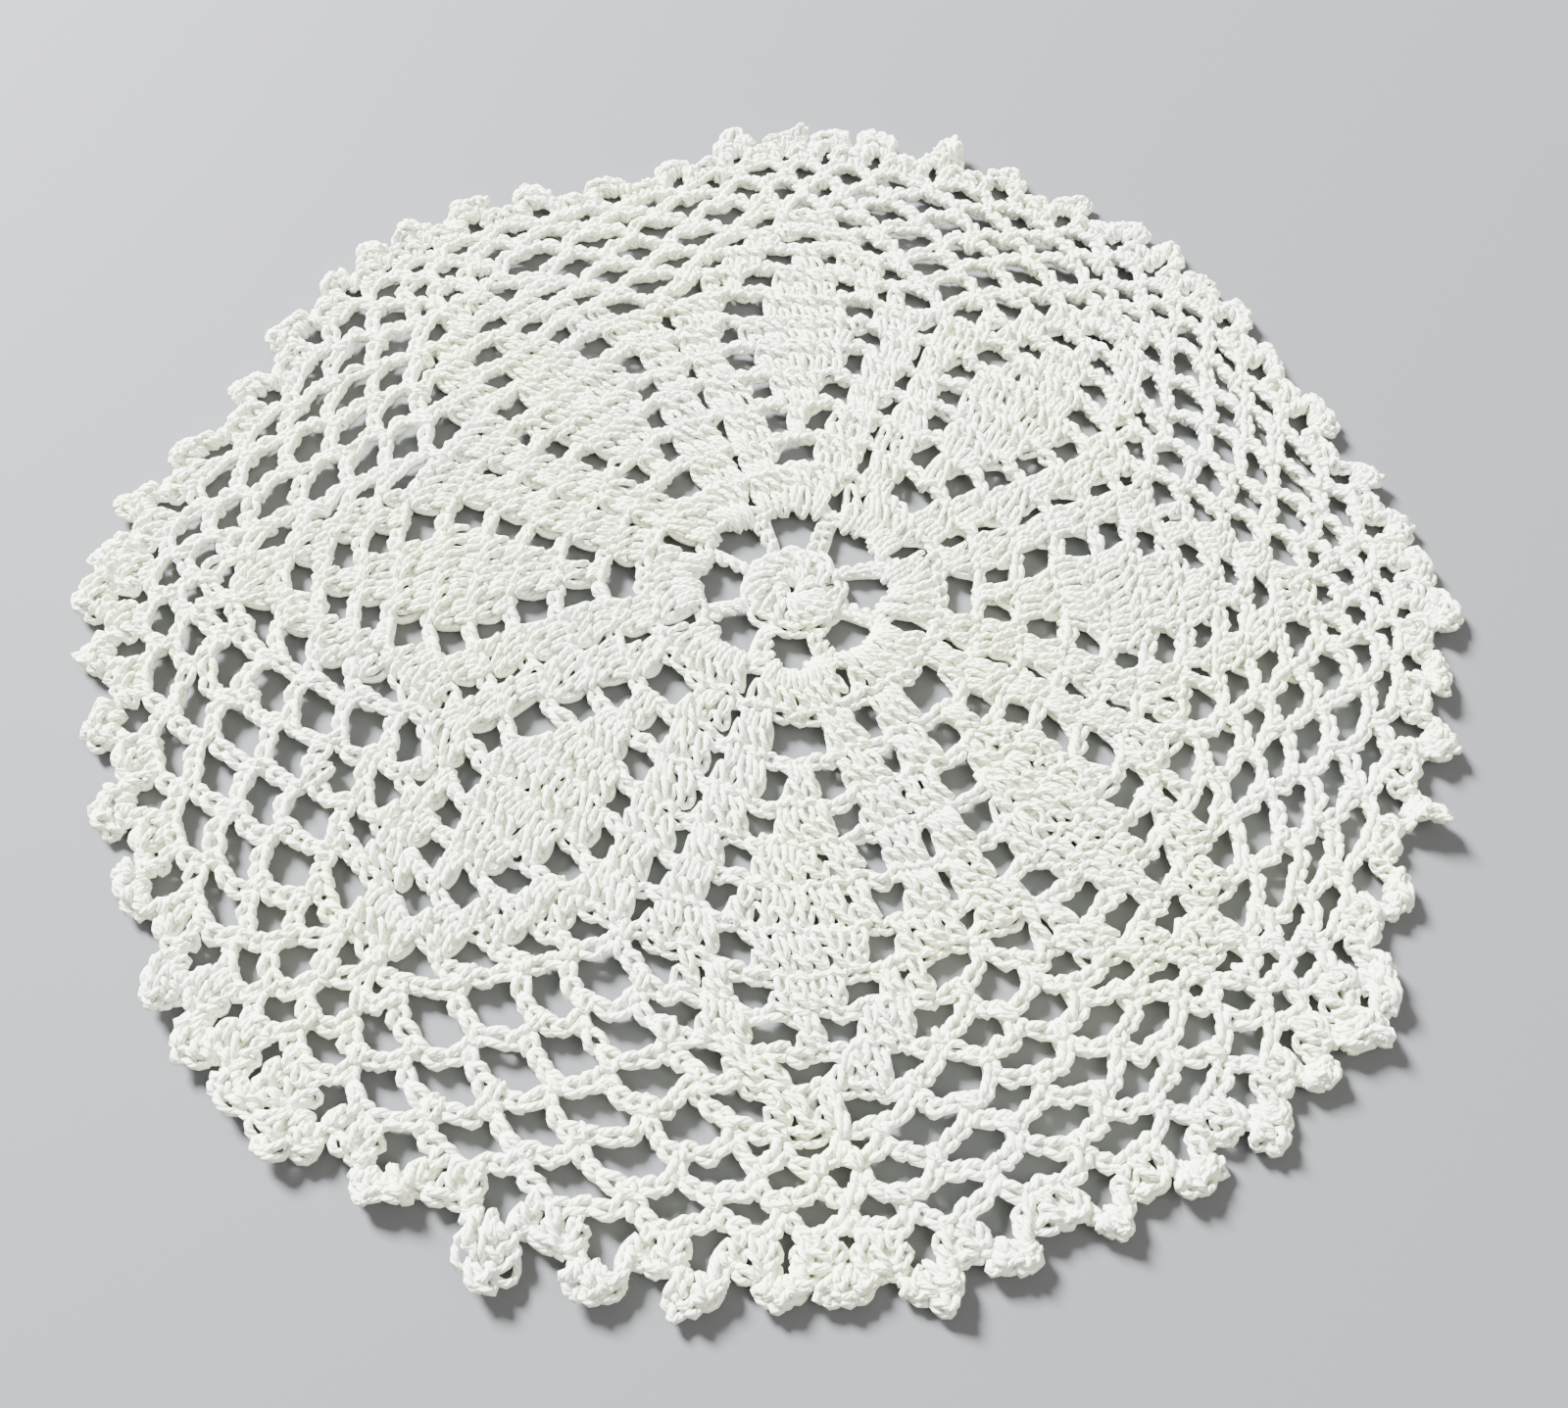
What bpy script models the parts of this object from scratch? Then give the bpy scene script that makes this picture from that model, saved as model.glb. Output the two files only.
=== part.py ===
"""Crocheted lace doily, one flat openwork sheet. Metres, +Z up, underside at z = 0.

The pattern is eight repeats round the centre. Each repeat has a leaf in the middle, a petal band
that closes over the leaf, and a net of chain loops that starts between two petals and widens
outwards. The rim is a round of small shells. Angles in the tables are degrees from a leaf's
middle line, clockwise seen from above, and radii are shares of the doily's radius.
"""
import math
import random

import bpy
import bmesh

# ---- driving dimensions ------------------------------------------------------------------------
RADIUS = 0.100               # centre to the middle of the shell tips
STITCH_THICKNESS = 0.0020    # petals, leaves and centre
NET_THICKNESS = 0.0014       # single chains of the net
SHELL_THICKNESS = 0.0023     # doubled thread of the edge round
CURL_HEIGHT = 0.0011         # what a shell's tip rises above its root, on top only
REPEATS = 8
FIRST_LEAF_ANGLE = 94.1      # direction of leaf 0, counter-clockwise from +X
SHELLS_PER_REPEAT = 7
HAND_UNEVENNESS = 0.05       # share of a hole's size by which its corners wander
WELD_DISTANCE = 0.00001
SEED = 17

# ---- how this doily lies: one row for each repeat, clockwise from the one at the top ------------
# base_lean, tip_lean : degrees by which the leaf's foot and tip are turned clockwise
# row_scale           : how far out the leaf's rounds lie, as a share of the even pattern
# leaf_rim, gap_rim   : reach of the edge over the leaf, and over the gap clockwise of it
LIE = [
    {"base_lean": 1.9, "tip_lean": 1.6, "row_scale": 1.020, "leaf_rim": 1.030, "gap_rim": 1.030},
    {"base_lean": 1.2, "tip_lean": 0.0, "row_scale": 1.030, "leaf_rim": 1.020, "gap_rim": 0.970},
    {"base_lean": 0.5, "tip_lean": -0.9, "row_scale": 0.985, "leaf_rim": 0.995, "gap_rim": 0.960},
    {"base_lean": -2.3, "tip_lean": 0.4, "row_scale": 1.000, "leaf_rim": 0.990, "gap_rim": 0.990},
    {"base_lean": -2.5, "tip_lean": -1.3, "row_scale": 1.010, "leaf_rim": 1.000, "gap_rim": 1.005},
    {"base_lean": 1.0, "tip_lean": -0.2, "row_scale": 0.960, "leaf_rim": 1.025, "gap_rim": 1.005},
    {"base_lean": 2.8, "tip_lean": -0.3, "row_scale": 1.000, "leaf_rim": 1.025, "gap_rim": 0.975},
    {"base_lean": 1.5, "tip_lean": 0.4, "row_scale": 0.995, "leaf_rim": 0.995, "gap_rim": 0.970},
]
LEAN_BASE_RADIUS = 0.26
LEAN_TIP_RADIUS = 0.70
SCALE_END_RADIUS = 0.55      # out to here the rounds follow row_scale, and from here the rim's reach

# ---- holes of one repeat -----------------------------------------------------------------------
# Holes on the leaf's middle line: the loop round the centre disc, and the spaces under the leaf
# and over its tip.
MIDDLE_HOLES = [
    # radius, angle, width_deg, height
    (0.113, 0.0, 33.0, 0.056),
    (0.256, 0.0, 14.5, 0.043),
    (0.718, 0.0, 5.6, 0.030),
]
# Chain spaces on both sides of the leaf, a row for each round.
LEAF_SPACES = [
    # radius, angle, width_deg, height
    (0.323, 6.6, 7.2, 0.040),
    (0.384, 9.6, 6.6, 0.040),
    (0.446, 11.8, 5.6, 0.040),
    (0.506, 13.2, 4.9, 0.039),
    (0.560, 9.6, 5.9, 0.034),
    (0.615, 6.4, 5.2, 0.037),
    (0.668, 3.5, 4.6, 0.033),
]
LEAF_SPACE_SLANT = 0.010     # how much further out a space's outer end lies than its inner end
# Net between two petals, at 1.4 times the thread's own row pitch so that every gap is a real one.
NET_ROWS = [
    # radius, loops, pitch_deg, width_deg, height
    (0.612, 2, 7.9, 6.5, 0.046),
    (0.681, 3, 7.9, 6.2, 0.046),
    (0.750, 4, 7.9, 6.0, 0.045),
    (0.819, 5, 7.9, 5.9, 0.044),
    (0.887, 6, 7.5, 5.5, 0.042),
]

# ---- shapes ------------------------------------------------------------------------------------
# A hole's outline: (across, outwards), in halves of its width and height.
ROUND_HOLE = [(math.cos(math.radians(a)), math.sin(math.radians(a))) for a in range(0, 360, 45)]
SPACE_HOLE = [(-1.0, -0.1), (-0.55, 0.95), (0.6, 1.0), (1.0, 0.1), (0.55, -0.95), (-0.6, -1.0)]
LOOP_HOLE = [(-1.0, 0.1), (-0.55, 0.85), (0.55, 0.85), (1.0, 0.1), (0.35, -0.95), (-0.35, -0.95)]
# One shell of the rim: (share of its width, share of its height from the valley to the tip).
SHELL_OUTLINE = [(0.0, 0.0), (0.12, 0.55), (0.32, 0.92), (0.52, 1.0), (0.74, 0.86), (0.90, 0.45)]
SHELL_VALLEY = 0.960         # radius of the valleys between shells, as a share of the rim's reach
SHELL_TIP_SPREAD = 0.014     # how much the shell tips differ in reach
SHELL_TURN = 1.0             # degrees by which the shells sit clockwise of the net's loops
SHELL_TURN_SPREAD = 0.7      # how much their valleys wander, in degrees
# Shells that stand well out of the rim: (repeat, shell, extra reach).
TALL_SHELLS = [(0, 5, 0.035), (4, 6, 0.040), (5, 3, 0.030), (5, 1, 0.020), (6, 3, 0.020)]

# ---- where the upper face changes height: from and to, in shares of the radius or degrees --------
PETAL_HALF_WIDTH = 18.0      # degrees from a leaf's middle line to its petal's edge
PETAL_TIP_HALF_WIDTH = 5.0   # the same where the petal has closed over the leaf
PETAL_EDGE = 3.0             # degrees over which a petal's edge thins to the net
PETAL_CLOSING = (0.58, 0.78)
NET_BETWEEN_PETALS = (0.56, 0.61)
NET_ALL_ROUND = (0.77, 0.82)
SHELL_RISE = (0.92, 0.97)
CURL_RISE = (0.98, 1.04)

SECTOR = 360.0 / REPEATS


def smooth_step(share):
    """Eases 0..1 to 0..1 with level ends."""
    share = min(1.0, max(0.0, share))
    return share * share * (3.0 - 2.0 * share)


def ramp(value, limits):
    """Eases from 0 at the first limit to 1 at the second."""
    return smooth_step((value - limits[0]) / (limits[1] - limits[0]))


def between(start, end, share):
    return start + (end - start) * share


def lie_value(column, turn):
    """A column of LIE at a clockwise turn, eased from each leaf to the next."""
    place = (turn / SECTOR) % REPEATS
    here = LIE[int(place)][column]
    beyond = LIE[(int(place) + 1) % REPEATS][column]
    return between(here, beyond, smooth_step(place - int(place)))


def lean(turn, radius):
    """Degrees by which the pattern is turned clockwise at a clockwise turn and a radius."""
    outward = ramp(radius, (LEAN_BASE_RADIUS, LEAN_TIP_RADIUS))
    full = between(lie_value("base_lean", turn), lie_value("tip_lean", turn), outward)
    return full * smooth_step(radius / LEAN_BASE_RADIUS)


def rim_reach(turn):
    """Rim radius at a clockwise turn, eased between the leaf and gap columns of LIE."""
    place = (turn / SECTOR) % REPEATS
    row = LIE[int(place)]
    next_row = LIE[(int(place) + 1) % REPEATS]
    half = (place - int(place)) * 2.0
    if half < 1.0:
        return between(row["leaf_rim"], row["gap_rim"], smooth_step(half))
    return between(row["gap_rim"], next_row["leaf_rim"], smooth_step(half - 1.0))


def lie_point(turn, radius):
    """XY in metres of a pattern point given by its clockwise turn and its share of the radius."""
    outward = ramp(radius, (SCALE_END_RADIUS, 1.0))
    row_scale = between(1.0, lie_value("row_scale", turn), smooth_step(radius / LEAN_BASE_RADIUS))
    distance = RADIUS * radius * between(row_scale, rim_reach(turn), outward)
    angle = math.radians(FIRST_LEAF_ANGLE - turn - lean(turn, radius))
    return (distance * math.cos(angle), distance * math.sin(angle))


def hole_points(turn, radius, width_deg, height, shape, rng, slant=0.0):
    """Corners of one hole, each moved a little so that no two holes are quite alike."""
    points = []
    for across, outwards in shape:
        across += rng.uniform(-1.0, 1.0) * HAND_UNEVENNESS
        outwards += rng.uniform(-1.0, 1.0) * HAND_UNEVENNESS
        corner_turn = turn + across * width_deg / 2
        corner_radius = radius + outwards * height / 2 + across * slant / 2
        points.append(lie_point(corner_turn, corner_radius))
    return points


def repeat_holes(index, rng):
    """All the holes of one repeat, as lists of corners."""
    leaf_turn = index * SECTOR
    holes = []
    for radius, angle, width_deg, height in MIDDLE_HOLES:
        holes.append(hole_points(leaf_turn + angle, radius, width_deg, height, ROUND_HOLE, rng))
    for radius, angle, width_deg, height in LEAF_SPACES:
        for side in (-1, 1):
            turn = leaf_turn + side * angle
            slant = side * LEAF_SPACE_SLANT
            holes.append(hole_points(turn, radius, width_deg, height, SPACE_HOLE, rng, slant))
    gap_turn = leaf_turn + SECTOR / 2
    for radius, loops, pitch_deg, width_deg, height in NET_ROWS:
        for loop in range(loops):
            turn = gap_turn + (loop - (loops - 1) / 2) * pitch_deg
            holes.append(hole_points(turn, radius, width_deg, height, LOOP_HOLE, rng))
    return holes


def rim_points(rng):
    """The outer edge: a rounded shell after shell, all the way round."""
    tall = {(row[0], row[1]): row[2] for row in TALL_SHELLS}
    count = REPEATS * SHELLS_PER_REPEAT
    first = SHELL_TURN - SECTOR / 2
    valleys = []
    for number in range(count):
        wander = rng.uniform(-1.0, 1.0) * SHELL_TURN_SPREAD
        valleys.append(first + number * 360.0 / count + wander)
    valleys.append(valleys[0] + 360.0)
    points = []
    for number in range(count):
        extra = tall.get(divmod(number, SHELLS_PER_REPEAT), 0.0)
        tip = 1.0 + rng.uniform(-1.0, 1.0) * SHELL_TIP_SPREAD + extra
        for share, rise in SHELL_OUTLINE:
            turn = between(valleys[number], valleys[number + 1], share)
            points.append(lie_point(turn, between(SHELL_VALLEY, tip, rise)))
    return points


def top_height(x, y):
    """Height of the upper face: thin in the net, thicker in the petals, the centre and the rim."""
    radius = math.hypot(x, y) / RADIUS
    turn = FIRST_LEAF_ANGLE - math.degrees(math.atan2(y, x))
    from_leaf = abs((turn + SECTOR / 2) % SECTOR - SECTOR / 2)
    petal = between(PETAL_HALF_WIDTH, PETAL_TIP_HALF_WIDTH, ramp(radius, PETAL_CLOSING))
    in_net = ramp(from_leaf, (petal, petal + PETAL_EDGE)) * ramp(radius, NET_BETWEEN_PETALS)
    in_net = max(in_net, ramp(radius, NET_ALL_ROUND))
    height = between(STITCH_THICKNESS, NET_THICKNESS, in_net)
    height = between(height, SHELL_THICKNESS, ramp(radius, SHELL_RISE))
    return height + CURL_HEIGHT * ramp(radius, CURL_RISE)


def add_loop(curve, points):
    """Adds a closed straight-sided loop to a flat curve."""
    spline = curve.splines.new("POLY")
    spline.points.add(len(points) - 1)
    for point, (x, y) in zip(spline.points, points):
        point.co = (x, y, 0.0, 1.0)
    spline.use_cyclic_u = True


def cotton_material():
    material = bpy.data.materials.new("white_cotton")
    material.use_nodes = True
    shader = material.node_tree.nodes["Principled BSDF"]
    shader.inputs["Base Color"].default_value = (0.80, 0.81, 0.80, 1.0)
    shader.inputs["Roughness"].default_value = 0.9
    shader.inputs["Metallic"].default_value = 0.0
    return material


def doily_curve(rng):
    """The flat outline with all its holes, as a filled curve one thickness deep."""
    curve = bpy.data.curves.new("doily_outline", "CURVE")
    curve.dimensions = "2D"
    curve.fill_mode = "BOTH"
    curve.extrude = STITCH_THICKNESS / 2
    add_loop(curve, rim_points(rng))
    for index in range(REPEATS):
        for points in repeat_holes(index, rng):
            add_loop(curve, points)
    return curve


def even_out_triangles(shape):
    """Turns the edges inside the two flat faces until the triangles are as stout as they can be."""
    for is_top in (True, False):
        faces = [face for face in shape.faces if all((v.co.z > 0) == is_top for v in face.verts)]
        flat = set(faces)
        edges = [edge for edge in shape.edges if all(face in flat for face in edge.link_faces)]
        bmesh.ops.beautify_fill(shape, faces=faces, edges=edges, method="AREA")


def doily_mesh(curve):
    """The curve as one closed mesh, underside flat at z = 0 and upper face at its own height."""
    outline = bpy.data.objects.new("doily_outline", curve)
    bpy.context.scene.collection.objects.link(outline)
    bpy.context.view_layer.update()
    evaluated = outline.evaluated_get(bpy.context.evaluated_depsgraph_get())
    mesh = bpy.data.meshes.new_from_object(evaluated)
    bpy.data.objects.remove(outline)
    shape = bmesh.new()
    shape.from_mesh(mesh)
    bmesh.ops.remove_doubles(shape, verts=shape.verts, dist=WELD_DISTANCE)
    bmesh.ops.triangulate(shape, faces=shape.faces)
    even_out_triangles(shape)
    for vert in shape.verts:
        vert.co.z = top_height(vert.co.x, vert.co.y) if vert.co.z > 0 else 0.0
    bmesh.ops.recalc_face_normals(shape, faces=shape.faces)
    shape.to_mesh(mesh)
    shape.free()
    return mesh


def build():
    for old in list(bpy.data.objects):
        bpy.data.objects.remove(old)
    collection = bpy.data.collections.new("lace_doily")
    bpy.context.scene.collection.children.link(collection)
    mesh = doily_mesh(doily_curve(random.Random(SEED)))
    mesh.name = "doily"
    mesh.materials.clear()
    mesh.materials.append(cotton_material())
    collection.objects.link(bpy.data.objects.new("doily", mesh))


build()
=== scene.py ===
import math

import bpy
import numpy as np
from mathutils import Matrix, Vector


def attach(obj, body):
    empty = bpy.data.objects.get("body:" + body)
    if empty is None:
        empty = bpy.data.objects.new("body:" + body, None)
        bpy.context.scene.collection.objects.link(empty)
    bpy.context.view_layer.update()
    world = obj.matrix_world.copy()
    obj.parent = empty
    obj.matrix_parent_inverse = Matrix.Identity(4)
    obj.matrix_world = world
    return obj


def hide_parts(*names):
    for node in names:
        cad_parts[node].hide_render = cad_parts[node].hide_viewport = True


# A round lace doily, crocheted from one white cotton thread. Every round is one length of thread,
# laid out stitch by stitch and swept as a tube. Metres, +Z up, the doily lies on z = 0.
# Lengths in the tables are shares of the doily's radius, or of the thread's thickness where they
# are said to be in thicknesses. Angles are degrees, clockwise seen from above: from the middle
# line of the leaf at the top, or from that of each leaf in turn.

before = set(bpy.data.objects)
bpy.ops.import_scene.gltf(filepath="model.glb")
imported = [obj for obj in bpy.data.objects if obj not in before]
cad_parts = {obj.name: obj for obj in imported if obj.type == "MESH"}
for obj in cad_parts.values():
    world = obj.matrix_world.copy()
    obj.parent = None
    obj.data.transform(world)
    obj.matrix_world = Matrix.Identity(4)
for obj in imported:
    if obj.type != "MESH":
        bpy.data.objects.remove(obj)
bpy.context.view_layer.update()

doily = {
    "radius": 0.100,            # metres, centre to the middle of the edge's knobs
    "firstLeafAngle": 94.1,     # direction of the first leaf, counter-clockwise from +X
    "repeats": 8,
    "seed": 17,
    "wobble": 0.0027,           # unevenness of the rows
    "waveNumbers": (12.0, 20.0, 33.0, 45.0, 60.0),      # radians in one radius, about, of its waves
    "calmRadius": 0.15,         # further in than this, the waves turn a point no more
    "ripple": 0.0050,           # how far the lace lifts off the floor in places
}
sector = 360.0 / doily["repeats"]
tiny = 1e-6                     # keeps a length of 0 from being divided by

thread = {
    "thickness": 0.0111,
    "sides": 5,                 # corners round the tube
    "step": 0.805,              # spacing of the tube's rings, in thicknesses
    "cuts": 4,                  # steps from one point of a stitch to the next, before the even ones
    "smoothing": 0.2,           # share of each neighbour that goes into a ring's place
    "waviness": 0.09,           # slow wander of the thread, in thicknesses
    "wanderStep": 3.0,          # length of one step of the wander, in thicknesses
    "wanderSpare": 4.0,         # how far the wander runs on past the thread's end, in thicknesses
    "lumps": 0.06,              # unevenness of its skin, as a share of its own radius
    "looseSwell": 1.10,         # the thread swells in a loose chain,
    "topSwell": 1.02,           # less so in the loops on top of posts,
    "tightSwell": 0.84,         # and is pulled thin in the posts
    "flatness": 0.80,           # how deep the stitches are, as a share of a round loose stitch
    "midHeight": 1.50,          # height of the stitches' middle, in thicknesses
    "leastHeight": 0.6,         # how low the thread's own middle gets, in thicknesses
}

# The hand that works the stitches. Two numbers are the least and the most.
hand = {
    "chainLength": 0.0196,      # one chain stitch
    "topShift": 0.0024,         # how far a stitch's top and foot are off their places
    "footShift": 0.0036,
    "loopReach": 2.9,           # how far a loop reaches at most, in thicknesses
    "loopWidth": (0.92, 1.10),
    "loopTurn": 20.0,           # degrees each way that a loop leans off its round's tilt
    "topDrop": 0.40,            # how much lower the loops on tall stitches lie, in thicknesses
    "tallSpacing": 2.1,         # usual distance between tall stitches, in thicknesses
    "spreadRange": (0.5, 1.2),  # how narrow and how wide a tall stitch gets to fill its place
    "postSlant": (0.25, 0.30),  # middle and spread of a post's lean, in thicknesses
    "postUneven": 0.09,         # spread of its points off their places, in thicknesses
    "postWidth": (0.92, 1.12),
    "postDepth": (0.9, 1.1),
    "hiddenHeight": -0.5,       # strands of a post that lie lower than this aren't pulled thin
}

# How this doily lies: eight values each, clockwise from the leaf at the top.
lie = {
    "baseLean": (1.9, 1.2, 0.5, -2.3, -2.5, 1.0, 2.8, 1.5),
    "tipLean": (1.6, 0.0, -0.9, 0.4, -1.3, -0.2, -0.3, 0.4),
    "rowScale": (1.020, 1.030, 0.985, 1.000, 1.010, 0.960, 1.000, 0.995),
    "leafRim": (1.000, 0.985, 0.992, 0.992, 0.998, 1.032, 1.023, 0.995),
    "gapRim": (0.994, 0.948, 0.950, 0.992, 1.010, 1.005, 0.957, 0.930),
    "leafBase": 0.26,           # radii between which a leaf's lean goes from base to tip
    "leafTip": 0.70,
    "netStart": 0.55,           # from here out the rim's reach comes in
}
rng = np.random.default_rng(doily["seed"])
waveRng = np.random.default_rng(doily["seed"] + 1)
knobRng = np.random.default_rng(doily["seed"] + 2)
# each wave has its ways across the pattern and its starts, for the turn, the radius and the height
waves = [(waveRng.normal(0.0, number, (2, 3)), waveRng.uniform(0.0, 2 * np.pi, 3))
         for number in doily["waveNumbers"]]


# 0 to 1 with level ends: share squared times three minus two shares.
def smoothStep(share):
    share = np.clip(share, 0.0, 1.0)
    return share * share * (3.0 - 2.0 * share)


# The start, and a share of the way from there to the end.
def between(start, end, share):
    return start + (end - start) * share


# Each row over its own length.
def unitRows(rows):
    return rows / np.maximum(np.linalg.norm(rows, axis=1, keepdims=True), tiny)


# Each row of x, y turned a quarter, to the side on which the row of towards lies.
def quarterTurned(rows, towards):
    turned = np.stack([-rows[:, 1], rows[:, 0]], axis=1)
    return turned * np.where(np.sum(turned * towards, axis=1) < 0.0, -1.0, 1.0)[:, None]


# Pattern x, y of a turn and a radius: the radius times the turn's sine and cosine.
def polar(turn, radius):
    angle = np.radians(turn)
    return np.stack([radius * np.sin(angle), radius * np.cos(angle)], axis=-1)


# One column of the lie table at each turn, eased from a leaf to the next.
def lieValue(column, turn):
    values = np.array(lie[column])
    place = (turn / sector) % doily["repeats"]
    here = np.floor(place).astype(int) % doily["repeats"]
    return between(values[here], values[(here + 1) % doily["repeats"]], smoothStep(place % 1.0))


# Reach of the rim, eased from over the leaf to over the gap and on to the next leaf.
def rimReach(turn):
    place = (turn / sector) % doily["repeats"]
    here = np.floor(place).astype(int) % doily["repeats"]
    leafRim = np.array(lie["leafRim"])
    gapRim = np.array(lie["gapRim"])[here]
    half = (place % 1.0) * 2.0
    leaving = between(leafRim[here], gapRim, smoothStep(half))
    nearing = between(gapRim, leafRim[(here + 1) % doily["repeats"]], smoothStep(half - 1.0))
    return np.where(half < 1.0, leaving, nearing)


# Places even pattern points where this uneven doily has them, in metres: the turn gets the lean
# and some waves, the distance from the centre the row scale, the rim's reach and some waves, and
# the height a ripple. Points have the columns x, y, height, swell.
def layOut(points):
    turn = np.degrees(np.arctan2(points[:, 0], points[:, 1]))
    radius = np.hypot(points[:, 0], points[:, 1])
    leafShare = (radius - lie["leafBase"]) / (lie["leafTip"] - lie["leafBase"])
    lean = between(lieValue("baseLean", turn), lieValue("tipLean", turn), smoothStep(leafShare))
    nearCentre = smoothStep(radius / lie["leafBase"])
    rowScale = between(1.0, lieValue("rowScale", turn), nearCentre)
    rimShare = smoothStep((radius - lie["netStart"]) / (1.0 - lie["netStart"]))
    scale = between(rowScale, rimReach(turn), rimShare)
    shift = sum(np.sin(points[:, :2] @ way + start) for way, start in waves)
    sway = doily["wobble"] * shift[:, 0] / np.maximum(radius, doily["calmRadius"])
    turn = turn + lean * nearCentre + np.degrees(sway)
    radius = (radius + doily["wobble"] * shift[:, 1]) * scale
    slow = np.sin(points[:, :2] @ waves[0][0] + waves[0][1])[:, 2]      # the longest wave
    height = points[:, 2] + doily["ripple"] * (1.0 + slow) / 2
    angle = np.radians(doily["firstLeafAngle"] - turn)
    place = np.stack([radius * np.cos(angle), radius * np.sin(angle), height], axis=1)
    return np.hstack([place * doily["radius"], points[:, 3:4]])


# A stitch's thread as points. Loop and bump: (share of the way to the next stitch, sideways and
# up in thread thicknesses). Post: (along the work in thicknesses, share of the way from foot to
# top, up in thicknesses).
loopStitch = np.array([
    (-0.12, 0.00, -0.95), (-0.10, 0.14, -0.30), (0.16, 0.36, 0.42), (0.55, 0.68, 0.80),
    (0.92, 0.84, 0.45), (1.16, 0.44, -0.40), (1.16, -0.44, -0.40), (0.92, -0.84, 0.45),
    (0.55, -0.68, 0.80), (0.16, -0.36, 0.42), (-0.10, -0.14, -0.30), (0.04, 0.00, -0.95),
])
bumpPoint = np.array([(-0.50, 0.0, -1.05)])
tallStitch = np.array([
    (-1.10, 0.90, -0.55), (-1.00, 0.62, -0.20), (-0.92, 0.42, 0.55), (-0.48, 0.50, 1.15),
    (0.15, 0.66, 1.30), (0.66, 0.82, 0.95), (1.00, 0.82, 0.05), (1.08, 0.58, -0.70),
    (0.80, 0.34, -0.85), (0.10, 0.22, -0.95), (-0.55, -0.10, -0.85), (-0.88, -0.06, -0.20),
    (-0.84, 0.08, 0.75), (-0.62, 0.22, 1.05), (-0.40, 0.36, 0.60), (-0.05, 0.50, 0.10),
    (0.40, 0.50, 0.15), (0.62, 0.38, 0.80), (0.46, 0.22, 1.10), (0.24, 0.08, 0.75),
    (0.06, -0.06, -0.20), (-0.10, -0.02, -0.75), (-0.05, 0.40, -0.80), (0.30, 0.72, -0.75),
    (-0.30, 0.86, -0.60), (-0.78, 0.80, 0.40), (-0.35, 0.90, 1.10), (0.20, 1.02, 1.05),
    (0.60, 1.02, 0.40), (0.45, 0.88, -0.40), (0.05, 0.84, -0.95),
])
shortStitch = np.array([
    (-0.95, 0.80, -0.75), (-0.40, 0.35, -1.10), (-0.20, -0.30, -1.05), (-0.45, -0.55, -0.10),
    (-0.62, -0.25, 0.95), (-0.58, 0.25, 1.25), (-0.30, 0.75, 0.85), (0.15, 0.92, 0.35),
    (0.55, 0.65, 0.75), (0.55, 0.10, 1.20), (0.42, -0.40, 0.75), (0.20, -0.50, -0.35),
    (0.05, 0.00, -1.10), (0.0, 0.60, -1.00),
])
wraps = {
    "points": 25,
    "halfTurns": 7.0,
    "halfWidth": 0.52,          # in thicknesses
    "halfDepth": 0.70,
    "start": 0.08,              # in the way from foot to top
    "length": 0.84,
}
# A long stitch: a strand down its back, then the wraps, a spiral round it from foot to top.
wrapShare = np.linspace(0.0, 1.0, wraps["points"])
wrapTurn = np.pi * (1.0 + wraps["halfTurns"] * wrapShare)
longStitch = np.vstack([
    [(-0.80, 0.88, -0.60), (-0.50, 0.50, -0.60), (-0.30, 0.15, -0.55), (-0.05, 0.02, -0.70)],
    np.stack([wraps["halfWidth"] * np.cos(wrapTurn), wraps["start"] + wraps["length"] * wrapShare,
              wraps["halfDepth"] * np.sin(wrapTurn)], axis=1),
    [(0.05, 0.90, -0.80)],
])
chain, tall, short, long = 0, 1, 2, 3
# the order of work: a stitch's post, its bump, its loop, then the next stitch
bumpOrder, loopOrder, nextOrder = 40.0, 50.0, 100.0
# the columns of a table of posts
turnAt, radiusAt, footTurnAt, footRadiusAt, kindAt, riseAt, freeAt = range(7)
plainColumns = 6                # in a table of posts without the free column
pointColumns = 5                # of a stitch's points: x, y, height, swell, free


chainLoop = {
    "riseWeight": 5.2,          # how much a loop's rise counts in its length
    "roundRise": 0.03,          # a loop that rises this far is as round as it gets
    "roundness": 0.62,          # its stitches' spacing: 0 is even, 1 is as round half an ellipse
    "fullness": 0.85,           # power of the sine, under 1 for a loop with full shoulders
}


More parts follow.
